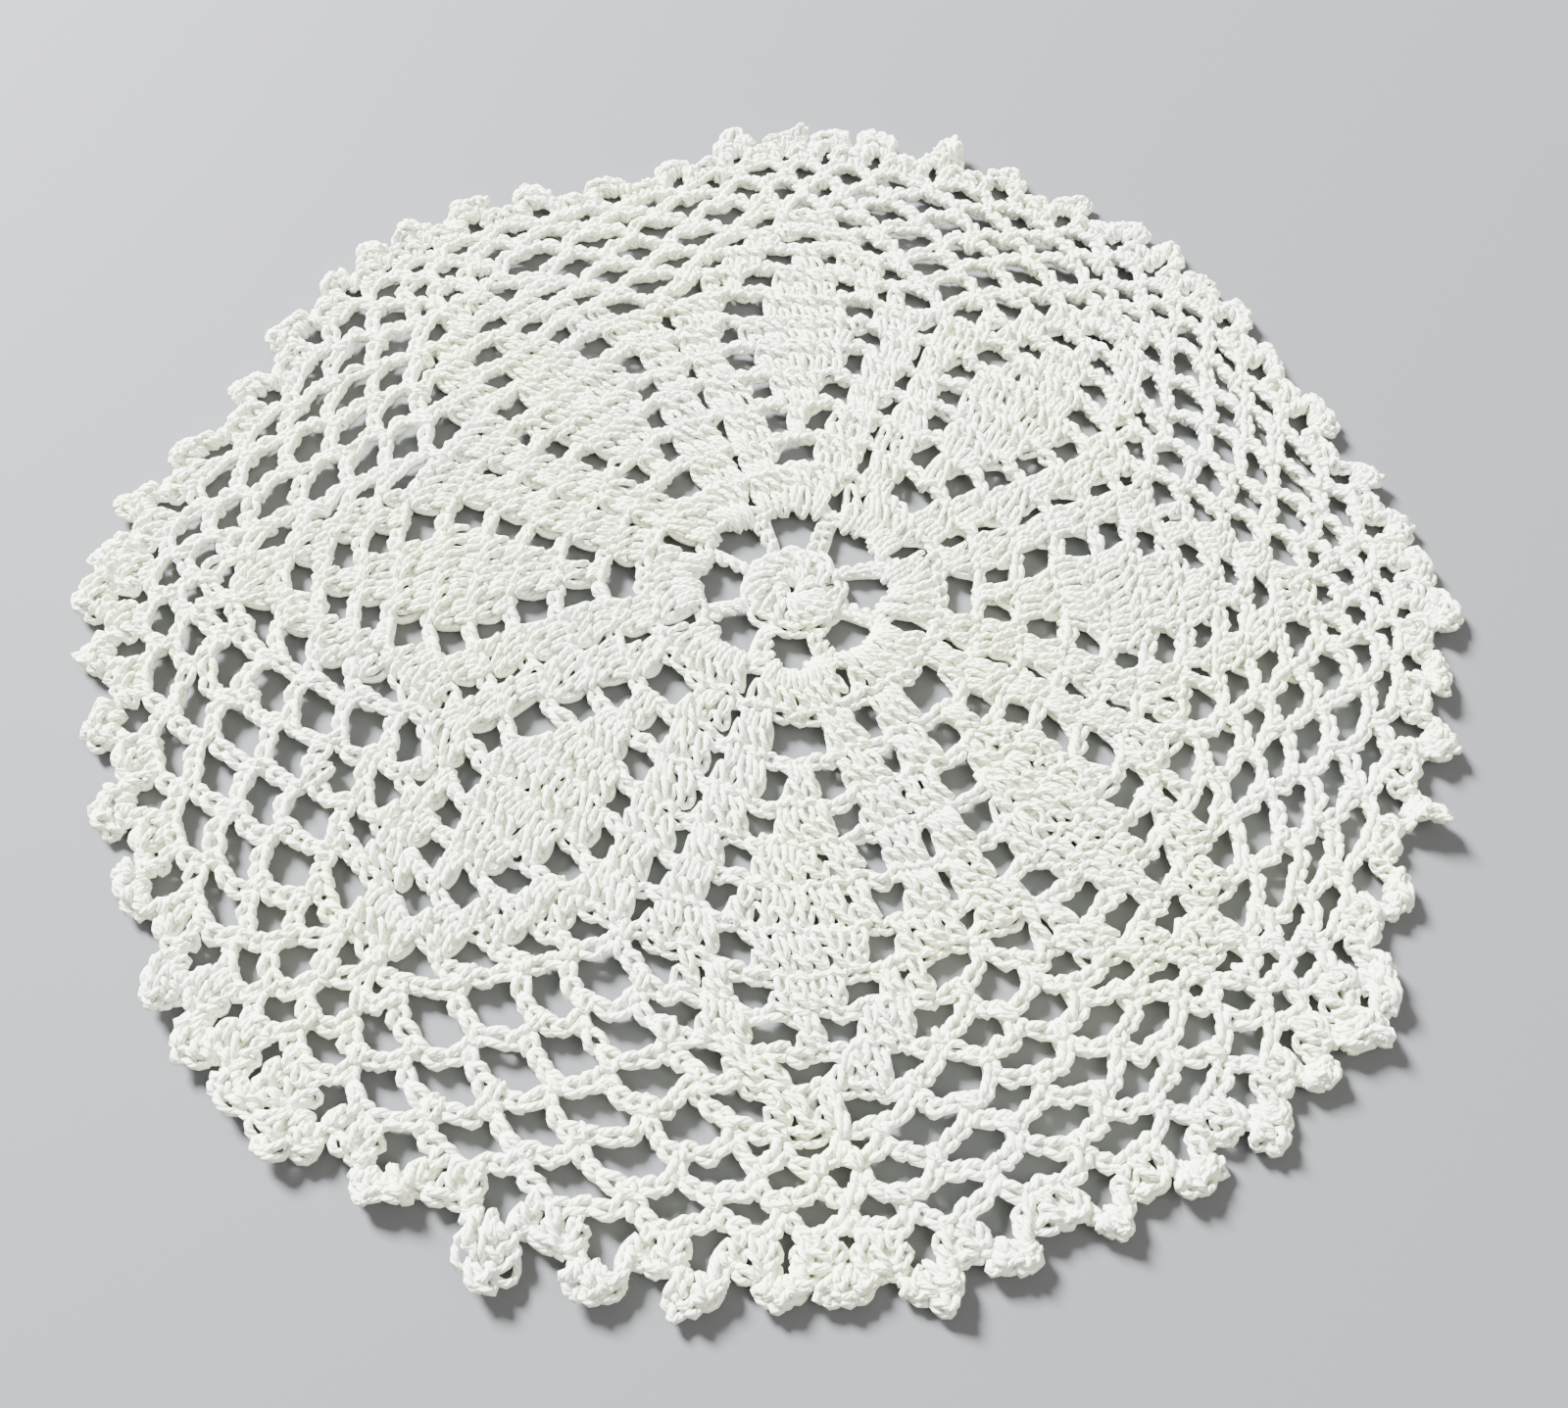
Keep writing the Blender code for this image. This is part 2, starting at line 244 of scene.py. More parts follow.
# Adds chain stitches between posts that stand further apart than a stitch. They go from one
# post's top to the next one's, and out from there by the post's rise times the sine of half a
# turn, to the power of the fullness.
def fillWithChains(posts):
    following = np.roll(posts, -1, axis=0)
    following[-1, turnAt] -= 360.0
    meanRadius = (posts[:, radiusAt] + following[:, radiusAt]) / 2
    span = np.radians(posts[:, turnAt] - following[:, turnAt]) * meanRadius
    rise = posts[:, riseAt]
    outward = following[:, radiusAt] - posts[:, radiusAt]
    length = np.sqrt(span ** 2 + outward ** 2 + chainLoop["riseWeight"] * rise ** 2)
    steps = np.maximum(1, np.round(length / hand["chainLength"])).astype(int)
    owner = np.repeat(np.arange(len(posts)), steps)
    within = np.arange(len(owner)) - np.repeat(np.cumsum(steps) - steps, steps)
    share = within / steps[owner]
    rounding = np.clip(rise[owner] / chainLoop["roundRise"], 0.0, 1.0) * chainLoop["roundness"]
    across = between(share, (1 - np.cos(np.pi * share)) / 2, rounding)
    turn = between(posts[owner, turnAt], following[owner, turnAt], across)
    radius = between(posts[owner, radiusAt], following[owner, radiusAt], across)
    radius = radius + rise[owner] * np.sin(np.pi * share) ** chainLoop["fullness"]
    kind = np.where(within == 0, posts[owner, kindAt], chain)
    top = polar(turn, radius) + rng.normal(0.0, hand["topShift"], (len(turn), 2))
    foot = polar(posts[owner, footTurnAt], posts[owner, footRadiusAt])
    foot = foot + rng.normal(0.0, hand["footShift"], (len(turn), 2))
    free = between(posts[owner, freeAt], following[owner, freeAt], share)
    return {"top": top, "foot": foot, "kind": kind.astype(int), "free": free}


# A smooth curve through the points, cut into steps of one length: some points between each pair
# by the Catmull-Rom formula, then even steps by distance, each place smoothed with its two
# neighbours', and a little slow wander.
def evenPath(path):
    thick, cuts, pull = thread["thickness"], thread["cuts"], thread["smoothing"]
    before, after = np.vstack([path[:1], path[:-1]]), np.vstack([path[1:], path[-1:]])
    beyond = np.vstack([after[1:], after[-1:]])
    share = (np.arange(cuts) / cuts)[None, :, None]
    p0, p1, p2, p3 = before[:, None], path[:, None], after[:, None], beyond[:, None]
    fine = 0.5 * (2 * p1 + (p2 - p0) * share + (2 * p0 - 5 * p1 + 4 * p2 - p3) * share ** 2
                  + (3 * p1 - p0 - 3 * p2 + p3) * share ** 3)
    fine = fine.reshape(-1, path.shape[1])[:1 - cuts]
    stretch = np.linalg.norm(np.diff(fine[:, :3], axis=0), axis=1)
    distance = np.concatenate([[0.0], np.cumsum(stretch)])
    places = np.linspace(0.0, distance[-1], int(distance[-1] / (thread["step"] * thick)))
    even = np.stack([np.interp(places, distance, column) for column in fine.T], axis=1)
    even[1:-1] = pull * even[:-2] + (1.0 - 2 * pull) * even[1:-1] + pull * even[2:]
    knots = np.arange(0.0, distance[-1] + thread["wanderSpare"] * thick, thread["wanderStep"] * thick)
    for column in range(3):
        noise = rng.normal(0.0, thread["waviness"] * thick, len(knots))
        even[:, column] += np.interp(places, knots, noise)
    return even


# How wide the tall stitches are at their feet or tops, as a share of the usual width: the larger
# distance to a tall neighbour on either side over the usual one, and 1 for a stitch on its own.
def widths(places, isTall):
    distance = np.linalg.norm(np.roll(places, -1, axis=0) - places, axis=1)
    distance = np.where(isTall & np.roll(isTall, -1), distance, 0.0)
    distance = np.maximum(distance, np.roll(distance, 1))
    share = distance / (hand["tallSpacing"] * thread["thickness"])
    return np.where(distance == 0.0, 1.0, np.clip(share, *hand["spreadRange"]))


# The thread's middle line through all stitches of a round. Each stitch's own points are set
# between its foot, its top and the next stitch's top, then all are put in working order. Tilt
# is how far the loops along the top lean over, and lift raises the round, in thicknesses.
# Columns: x, y, height, swell, free.
def threadPath(stitches, tilt, lift):
    thick = thread["thickness"]
    top, kind, free = stitches["top"], stitches["kind"], stitches["free"]
    count = len(top)
    along = np.roll(top, -1, axis=0) - top
    length = np.linalg.norm(along, axis=1, keepdims=True)
    unit = unitRows(along)
    side = quarterTurned(unit, unitRows(top))
    reach = np.minimum(length, hand["loopReach"] * thick)
    width = thick * rng.uniform(*hand["loopWidth"], (count, 1))
    turnOver = np.radians(tilt + rng.uniform(-hand["loopTurn"], hand["loopTurn"], (count, 1)))
    swell = np.where(kind == chain, thread["looseSwell"], thread["topSwell"])

    # Loop or bump points of every stitch, leaned over round the way to the next stitch.
    def fromLoop(shape):
        sideways = shape[None, :, 1] * np.cos(turnOver) + shape[None, :, 2] * np.sin(turnOver)
        up = shape[None, :, 2] * np.cos(turnOver) - shape[None, :, 1] * np.sin(turnOver)
        up = up - hand["topDrop"] * (kind == tall)[:, None]
        place = top[:, None, :] + unit[:, None, :] * (reach * shape[None, :, 0])[:, :, None]
        place = place + side[:, None, :] * (width * sideways)[:, :, None]
        loose = between(free[:, None], np.roll(free, -1)[:, None], np.clip(shape[None, :, 0], 0, 1))
        rest = [up * thick * thread["flatness"], np.repeat(swell[:, None], len(shape), axis=1), loose]
        return np.concatenate([place, np.stack(rest, axis=2)], axis=2)

    # Post points of the chosen stitches: the share of the way from foot to top, and to the side
    # of that the thicknesses with this post's own slant and unevenness, as wide as its place.
    def fromPost(shape, chosen):
        number = int(chosen.sum())
        foot = stitches["foot"][chosen]
        rise = top[chosen] - foot
        sideways = quarterTurned(unitRows(rise), unit[chosen])
        slant = rng.normal(*hand["postSlant"], (number, 1)) * (shape[None, :, 1] - 0.5)
        uneven = rng.normal(0.0, hand["postUneven"], (number, len(shape)))
        upShare = np.clip(shape[None, :, 1], 0.0, 1.0)
        wide = between(footWidth[chosen, None], topWidth[chosen, None], upShare)
        across = shape[None, :, 0] + slant + uneven
        spread = thick * rng.uniform(*hand["postWidth"], (number, 1)) * across * wide
        place = foot[:, None, :] + rise[:, None, :] * shape[None, :, 1, None]
        place = place + sideways[:, None, :] * spread[:, :, None]
        depth = rng.uniform(*hand["postDepth"], (number, 1))
        up = shape[None, :, 2] * thick * thread["flatness"] * depth
        loose = np.repeat(free[chosen][:, None], len(shape), axis=1)
        hidden = shape[:, 2] < hand["hiddenHeight"]
        swells = np.where(hidden, thread["looseSwell"], thread["tightSwell"])
        rest = np.stack([up, np.tile(swells, (number, 1)), loose], axis=2)
        return np.concatenate([place, rest], axis=2)

    footWidth, topWidth = widths(stitches["foot"], kind == tall), widths(top, kind == tall)
    order = np.arange(count)[:, None] * nextOrder
    plain = kind == chain
    loopKeys = order + loopOrder + np.arange(len(loopStitch))[None, :]
    parts = [fromLoop(loopStitch), fromLoop(bumpPoint)[plain]]
    keys = [loopKeys.ravel(), (order[plain] + bumpOrder).ravel()]
    for postKind, shape in ((tall, tallStitch), (short, shortStitch), (long, longStitch)):
        chosen = kind == postKind
        if chosen.any():
            parts.append(fromPost(shape, chosen))
            keys.append((order[chosen] + np.arange(len(shape))[None, :]).ravel())
    path = np.concatenate([part.reshape(-1, pointColumns) for part in parts])
    path = path[np.argsort(np.concatenate(keys), kind="stable")]
    path[:, 2] += (thread["midHeight"] + lift) * thick
    return evenPath(path)


# Repeats one sector's posts all the way round, in the direction of work, which is
# counter-clockwise. Rows without a free column get one of 0 and are put in order first.
def allRepeats(rows):
    if rows.shape[1] == plainColumns:
        rows = np.hstack([rows, np.zeros((len(rows), 1))])
        rows = rows[np.argsort(-rows[:, turnAt], kind="stable")]
    shift = np.repeat(np.arange(doily["repeats"]) * sector, len(rows))
    everything = np.tile(rows, (doily["repeats"], 1))
    everything[:, turnAt] -= shift
    everything[:, footTurnAt] -= shift
    return everything


# Posts side by side: count of them, spread evenly between two turns at the top and two at the
# foot, from the foot's radius to the top's.
def group(count, top, foot, radii, rise=0.0):
    share = (np.arange(count) + 0.5) / count
    return np.stack([between(top[0], top[1], share), np.full(count, radii[1]),
                     between(foot[0], foot[1], share), np.full(count, radii[0]),
                     np.full(count, tall), np.full(count, rise)], axis=1)


# The same posts on the leaf's other side: both turns change their sign.
def mirrored(rows):
    return rows * np.array([-1.0, 1.0, -1.0, 1.0, 1.0, 1.0])


centre = {
    # posts in a repeat, turns at their tops, turns at their feet, radii of foot and top
    "disc": (2, (-22.5, 22.5), (-22.5, 22.5), (0.014, 0.071)),
    "spokes": (2, (17.0, 28.0), (12.0, 33.0), (0.072, 0.148)),
    "fans": (7, (-20.5, 20.5), (-16.5, 16.5), (0.151, 0.220)),
    "leafFoot": (3, (7.6, 20.2), (8.4, 20.0), (0.218, 0.287)),     # on both sides of a chain space
    "discTilt": 25.0,           # how far the loops lean over in each of these rounds
    "spokeTilt": 10.0,
    "tilt": 22.0,
    "ringRise": 0.010,          # how far the chain loops between the spokes bulge outwards
    "fanRise": 0.002,
    "leafFootRise": 0.004,
    "fanArc": 0.012,            # how much further in a fan's outer feet are than its middle one
    "fanLift": 0.35,            # the fans' feet lie over the chain loops, in thicknesses
}


# The disc, its spokes with a chain loop between each two, the fans, and the row under the leaves.
# Each round is its posts, its tilt and its lift.
def centreRounds():
    leafFoot = group(*centre["leafFoot"], centre["leafFootRise"])
    leafFeet = np.concatenate([leafFoot, mirrored(leafFoot)])
    spokes = group(*centre["spokes"], centre["ringRise"])
    spokes[:, kindAt] = long
    fans = group(*centre["fans"], centre["fanRise"])
    outerFoot = centre["fans"][2][1]
    fans[:, footRadiusAt] -= centre["fanArc"] * (fans[:, footTurnAt] / outerFoot) ** 2
    return [(allRepeats(group(*centre["disc"])), centre["discTilt"], 0.0),
            (allRepeats(spokes), centre["spokeTilt"], 0.0),
            (allRepeats(fans), centre["tilt"], centre["fanLift"]),
            (allRepeats(leafFeet), centre["tilt"], 0.0)]


petals = {
    "chainRise": 0.003,
    "tilt": 22.0,
    "rounds": (
        # radii, (leaf's posts, its half width at foot, at top), (band's posts, edges at foot, at top)
        ((0.287, 0.354), (2, 2.4, 3.4), (3, (9.6, 21.2), (10.6, 20.9))),
        ((0.354, 0.416), (4, 5.0, 6.6), (3, (12.4, 21.1), (12.9, 21.0))),
        ((0.416, 0.478), (6, 8.0, 9.3), (3, (14.2, 21.1), (14.6, 21.1))),
        ((0.478, 0.540), (8, 10.2, 11.0), (3, (15.6, 21.2), (15.5, 21.2))),
        ((0.540, 0.598), (6, 7.6, 6.6), (4, (13.2, 21.5), (12.2, 21.5))),
        ((0.598, 0.650), (4, 4.4, 3.8), (2, (9.2, 12.2), (8.6, 11.6))),
        ((0.650, 0.702), (2, 1.7, 1.3), (3, (6.4, 12.2), (5.6, 11.4))),
        ((0.702, 0.750), (0, 0.0, 0.0), (3, (2.9, 8.8), (1.9, 7.4))),
        ((0.750, 0.800), (0, 0.0, 0.0), (2, (0.2, 4.4), (0.1, 3.2))),
    ),
    "outerPost": (1, (13.6, 15.0), (13.6, 15.6)),      # beside the band where the net starts
    "solidRounds": 5,                                   # rounds before the net starts
}


# One round of the leaves and petals: the leaf's posts, and a band of posts on each side.
def petalRows(index):
    radii, (leafPosts, footHalf, topHalf), (bandPosts, footEdges, topEdges) = petals["rounds"][index]
    rise = petals["chainRise"]
    band = group(bandPosts, topEdges, footEdges, radii, rise)
    rows = [band, mirrored(band)]
    if leafPosts:
        rows.append(group(leafPosts, (-topHalf, topHalf), (-footHalf, footHalf), radii, rise))
    return np.concatenate(rows)


net = {
    "crests": (0.652, 0.702, 0.750, 0.798, 0.845, 0.889, 0.930),   # how far out the loops reach
    "knotHeight": 0.014,
    "tilt": 8.0,
    "tipKnots": (-2.7, 2.3),    # knots on the closed petal tip
}


# The net: knots on the crests of the round before, and a chain loop from each knot to the next,
# beside what is left of the petals. Gives the rounds and the turns of the last crests.
def netRounds():
    made = []
    knots = np.array([sector / 2])
    foot = petals["rounds"][petals["solidRounds"] - 1][0][1]
    for number, crest in enumerate(net["crests"]):
        index = petals["solidRounds"] + number
        rows = []
        if index < len(petals["rounds"]):
            rows.append(petalRows(index))
        if number == 0:
            outerPost = group(*petals["outerPost"], petals["rounds"][index][0], petals["chainRise"])
            rows += [outerPost, mirrored(outerPost)]
        knotRows = np.zeros((len(knots), plainColumns))
        knotRows[:, turnAt], knotRows[:, radiusAt] = knots, foot + net["knotHeight"]
        knotRows[:, footTurnAt], knotRows[:, footRadiusAt] = knots, foot
        knotRows[:, kindAt] = short
        rows = np.concatenate(rows + [knotRows])
        rows = rows[np.argsort(-rows[:, turnAt], kind="stable")]
        isKnot = rows[:, kindAt] == short
        isLoop = isKnot | np.roll(isKnot, -1)
        level = (rows[:, radiusAt] + np.roll(rows[:, radiusAt], -1)) / 2
        rows[:, riseAt] = np.where(isLoop, crest - level, rows[:, riseAt])
        made.append((allRepeats(rows), net["tilt"], 0.0))
        ahead = np.append(rows[1:, turnAt], rows[0, turnAt] - sector)
        knots = ((rows[:, turnAt] + ahead) / 2)[isLoop]
        if index == len(petals["rounds"]) - 1:
            knots = np.append(knots, net["tipKnots"])
        knots = np.sort(knots)[::-1]
        foot = crest
    return made, knots


edge = {
    "posts": 3,                 # tall stitches on each crest
    "spread": (0.16, 0.31),     # half width of their feet and of their tops, in crests' spaces
    "foot": 0.930,
    "top": 0.974,
    "topArc": 0.010,            # how much further in the outer tops are than the middle one
    "knobPosts": 4,             # tall stitches in the knob over each gap
    "knobFoot": 0.977,
    "knobFan": 62.0,            # degrees each way
    "knobHalfWidth": 0.033,
    "knobHeight": 0.030,
    "footShare": 0.3,           # how wide a knob's foot is, as a share of its end
    "squareness": 0.6,          # the power that flattens a knob's end, 1 for half an ellipse
    "picot": (0.003, 0.017),    # how far the chain loop on a knob's end stands out, least and most
    "taper": (-0.32, 0.28),     # how much wider a knob is at its end than at its foot
    "curl": (0.0, 12.0),        # degrees that a knob curls up over its height, least and most
    "twist": 14.0,              # degrees that it turns about its own axis, at most
    "twistLift": 0.014,         # how far it rises where it stands on its side
    "lean": 16.0,
    "size": (0.78, 1.26),
    "sizeToWidth": 0.25,        # the power of its size that its width follows
    "tilt": 45.0,
    # knobs that stand well out: turn, size, twist, lean
    "tall": ((199.0, 1.75, 10.0, -28.0), (15.4, 1.60, 45.0, 0.0), (109.2, 1.35, 40.0, -8.0)),
    "tallCurl": 8.0,
    "holdEnd": 0.02,            # from this far out of a knob's foot, points follow its form fully
    "bendEnd": 0.004,           # and from this far out, its arc
    "leastBend": 0.001,         # radians in one radius, for a knob that lies flat
}


# The edge: tall stitches fanned out on each crest, and a knob of them over each gap, whose tops
# lie on half an ellipse with a flattened end. A chain loop in the middle of the end is the picot.
# Gives the round and the turns of the gaps.
def edgeRound(crests):
    ahead = np.append(crests[1:], crests[0] - sector)
    behind = np.append(crests[-1] + sector, crests[:-1])
    gaps = (crests + ahead) / 2
    spaces = (behind - ahead)[:, None] / 2
    share = np.linspace(1.0, -1.0, edge["posts"])[None, :]
    fans = np.zeros((len(crests), edge["posts"], plainColumns + 1))
    fans[:, :, turnAt] = crests[:, None] + spaces * edge["spread"][1] * share
    fans[:, :, radiusAt] = edge["top"] - edge["topArc"] * share ** 2
    fans[:, :, footTurnAt] = crests[:, None] + spaces * edge["spread"][0] * share
    fans[:, :, footRadiusAt] = edge["foot"]
    fans[:, :, kindAt] = tall
    angle = np.radians(np.linspace(edge["knobFan"], -edge["knobFan"], edge["knobPosts"]))
    across = edge["knobHalfWidth"] * np.sin(angle)
    footAcross = edge["footShare"] * across
    top = edge["knobFoot"] + edge["knobHeight"] * np.cos(angle) ** edge["squareness"]
    knobs = np.zeros((len(crests), edge["knobPosts"], plainColumns + 1))
    knobs[:, :, turnAt] = gaps[:, None] + np.degrees(across / top)
    knobs[:, :, radiusAt] = top
    knobs[:, :, footTurnAt] = gaps[:, None] + np.degrees(footAcross / edge["knobFoot"])
    knobs[:, :, footRadiusAt] = edge["knobFoot"]
    knobs[:, :, kindAt] = tall
    knobs[:, :, freeAt] = 1.0
    posts = allRepeats(np.concatenate([fans, knobs], axis=1).reshape(-1, plainColumns + 1))
    # the second post of each knob
    picots = np.arange(edge["posts"] + 1, len(posts), edge["posts"] + edge["knobPosts"])
    posts[picots, riseAt] = knobRng.uniform(*edge["picot"], len(picots))
    allGaps = (gaps[None, :] - np.arange(doily["repeats"])[:, None] * sector).ravel()
    return (posts, edge["tilt"], 0.0), allGaps


# Smallest difference between turns, from -180 to 180 degrees.
def turnFrom(turn, start):
    return (turn - start + 180.0) % 360.0 - 180.0


# Gives each knob of the edge its own form. A point's way across widens with the taper, then it
# and the point's height turn about the knob's middle line by the twist. Its way out grows with
# the knob's size and leans to a side, then goes round an arc, with the height as an offset to
# the arc's middle. Only free points move, the more the further out they are.
def curlKnobs(points, gaps):
    base = edge["knobFoot"]
    count = len(gaps)
    middle = thread["midHeight"] * thread["thickness"]
    turn = np.degrees(np.arctan2(points[:, 0], points[:, 1]))
    radius = np.hypot(points[:, 0], points[:, 1])
    away = turnFrom(turn[:, None], gaps[None, :])
    owner = np.argmin(np.abs(away), axis=1)
    fromGap = away[np.arange(len(points)), owner]
    outward = np.maximum(radius - base, 0.0)
    hold = points[:, 4] * smoothStep(outward / edge["holdEnd"])
    across = np.radians(fromGap) * radius
    curl = rng.uniform(*edge["curl"], count)
    size = rng.uniform(*edge["size"], count)
    twist = rng.uniform(-edge["twist"], edge["twist"], count)
    lean = np.tan(np.radians(rng.normal(0.0, edge["lean"], count)))
    taper = knobRng.uniform(*edge["taper"], count)
    for stand, bigger, turned, leaning in edge["tall"]:
        nearest = np.argmin(np.abs(turnFrom(gaps, stand)))
        size[nearest], twist[nearest], curl[nearest] = bigger, turned, edge["tallCurl"]
        lean[nearest] = np.tan(np.radians(leaning))
    grow = between(1.0, size[owner], hold)
    twist = np.radians(twist)[owner] * hold
    height = points[:, 2] - middle
    taper = taper[owner] * hold
    across = across * (1.0 + taper * np.clip(outward / edge["knobHeight"], 0.0, 1.0))
    wide = (across * np.cos(twist) - height * np.sin(twist)) * grow ** edge["sizeToWidth"]
    wide = wide + outward * lean[owner] * hold
    height = across * np.sin(twist) + height * np.cos(twist)
    height = height + middle + edge["twistLift"] * np.abs(np.sin(twist))
    bend = np.radians(curl)[owner] / edge["knobHeight"] * hold
    bend = np.maximum(bend, edge["leastBend"]) / grow
    arc = bend * outward * grow
    far = np.sin(arc) * (1.0 / bend - height)
    height = (1.0 - np.cos(arc)) / bend + height * np.cos(arc)
    newRadius = between(radius, base + far, np.clip(outward / edge["bendEnd"], 0.0, 1.0))
    newTurn = turn - fromGap + np.degrees(wide / newRadius)
    place = polar(newTurn, newRadius)
    return np.stack([place[:, 0], place[:, 1], height, points[:, 3]], axis=1)


# All rounds from the centre out, each one a path of thread in metres. No thread goes lower than
# a little over half its thickness, so all lie on the floor.
def makePaths():
    rounds = centreRounds()
    for index in range(petals["solidRounds"]):
        rounds.append((allRepeats(petalRows(index)), petals["tilt"], 0.0))
    netPart, crests = netRounds()
    lastRound, gaps = edgeRound(crests)
    rounds += netPart + [lastRound]
    made = []
    for posts, tilt, lift in rounds:
        stitches = fillWithChains(posts)
        path = threadPath(stitches, tilt, lift)
        if len(made) == len(rounds) - 1:
            path = curlKnobs(path, gaps)
        lowest = thread["leastHeight"] * thread["thickness"] * path[:, 3]
        path[:, 2] = np.maximum(path[:, 2], lowest)
        made.append(layOut(path))
        print("round", len(made), "has", len(stitches["kind"]), "stitches,",
              len(made[-1]), "thread rings")
    return made


# Two directions square to a path and to each other, at each of its points. The first one is
# carried along with the smallest turns: identity plus the cross matrix of two neighbours' axis
# plus its square over one more than their cosine, multiplied up in doubling steps.
def squareDirections(centreLine):
    ahead = unitRows(np.gradient(centreLine, axis=0))
    axis = np.cross(ahead[:-1], ahead[1:])
    cosine = np.sum(ahead[:-1] * ahead[1:], axis=1)
    cross = np.zeros((len(axis), 3, 3))
    cross[:, 0, 1], cross[:, 0, 2], cross[:, 1, 2] = -axis[:, 2], axis[:, 1], -axis[:, 0]
    cross = cross - np.transpose(cross, (0, 2, 1))
    turns = np.eye(3)[None] + cross + cross @ cross / np.maximum(1.0 + cosine, tiny)[:, None, None]
    turns = np.concatenate([np.eye(3)[None], turns])
    step = 1
    while step < len(turns):
        turns[step:] = turns[step:] @ turns[:-step]
        step *= 2
    first = np.cross(ahead[0], (0.0, 0.0, 1.0))
    sideways = turns @ (first / np.linalg.norm(first))
    sideways = unitRows(sideways - ahead * np.sum(sideways * ahead, axis=1, keepdims=True))
    return sideways, np.cross(ahead, sideways)


# Sweeps the thread along each path: rings of corners at even angles, the middle plus the radius
# times cosine and sine of the angle in the two square directions. Both ends are closed. The UV
# map has the share of the way round and the metres along the thread.
def tubeMesh(name, paths):
    sides = thread["sides"]
    corners, quads, caps, lengths = [], [], [], []
    start = 0
    for path in paths:
        centreLine, swell = path[:, :3], path[:, 3]
        sideways, upward = squareDirections(centreLine)
        angle = np.arange(sides)[None, :, None] * 2 * np.pi / sides
        ring = sideways[:, None, :] * np.cos(angle) + upward[:, None, :] * np.sin(angle)
        uneven = 1.0 + rng.normal(0.0, thread["lumps"], (len(path), sides))
        radius = (doily["radius"] * thread["thickness"] / 2 * swell)[:, None] * uneven
        corners.append((centreLine[:, None, :] + ring * radius[:, :, None]).reshape(-1, 3))
        row = np.arange(len(path) - 1)[:, None] * sides + start
        column = np.arange(sides)[None, :]
        turned = (column + 1) % sides
        quad = [row + column, row + turned, row + sides + turned, row + sides + column]
        quads.append(np.stack(quad, axis=2).reshape(-1, 4))
        last = start + (len(path) - 1) * sides
        caps += [list(range(start + sides - 1, start - 1, -1)), list(range(last, last + sides))]
        stretch = np.linalg.norm(np.diff(centreLine, axis=0), axis=1)
        lengths.append(np.concatenate([[0.0], np.cumsum(stretch)]))
        start += len(path) * sides
    points = np.concatenate(corners)
    quads = np.concatenate(quads)
    mesh = bpy.data.meshes.new(name)
    mesh.from_pydata(points, [], quads.tolist() + caps)
    owner = np.zeros(len(mesh.loops), dtype=np.int32)
    mesh.loops.foreach_get("vertex_index", owner)
    around = np.tile(np.arange(sides) / sides, len(points) // sides)[owner]
    along = np.repeat(np.concatenate(lengths), sides)[owner]
    corner = np.arange(quads.size) % 4
    atSeam = ((corner == 1) | (corner == 2)) & (around[:quads.size] == 0.0)
    around[:quads.size][atSeam] = 1.0       # the last strip ends at 1 and doesn't go back to 0
    layer = mesh.uv_layers.new(name="along")
    layer.data.foreach_set("uv", np.stack([around, along], axis=1).astype(np.float32).ravel())
    mesh.polygons.foreach_set("use_smooth", np.ones(len(mesh.polygons), dtype=bool))
    mesh.update()
    piece = bpy.data.objects.new(name, mesh)
    bpy.context.scene.collection.objects.link(piece)
    return piece


cotton = {
    "shade": (0.81, 0.84, 0.735, 1.0),      # the thread's usual white
    "warmShade": (0.825, 0.84, 0.645, 1.0),  # where it has yellowed a little
    "patchScale": 45.0,
    "patchDetail": 4.0,
    "patchRange": (0.35, 0.75),     # where in the noise the yellowing starts and is full
    "roughness": 0.92,
    "specular": 0.25,
    "sheen": 0.12,
    "sheenRoughness": 0.6,
    "plies": 3,
    "twist": 0.0011,            # metres along the thread from one ply to the next
    "plyDepth": 0.00022,        # metres
    "plyStrength": 0.7,
    "fuzzDepth": 0.00016,       # metres
    "fuzzStrength": 0.5,
    "fuzzScale": 2600.0,
    "fuzzDetail": 3.0,
}


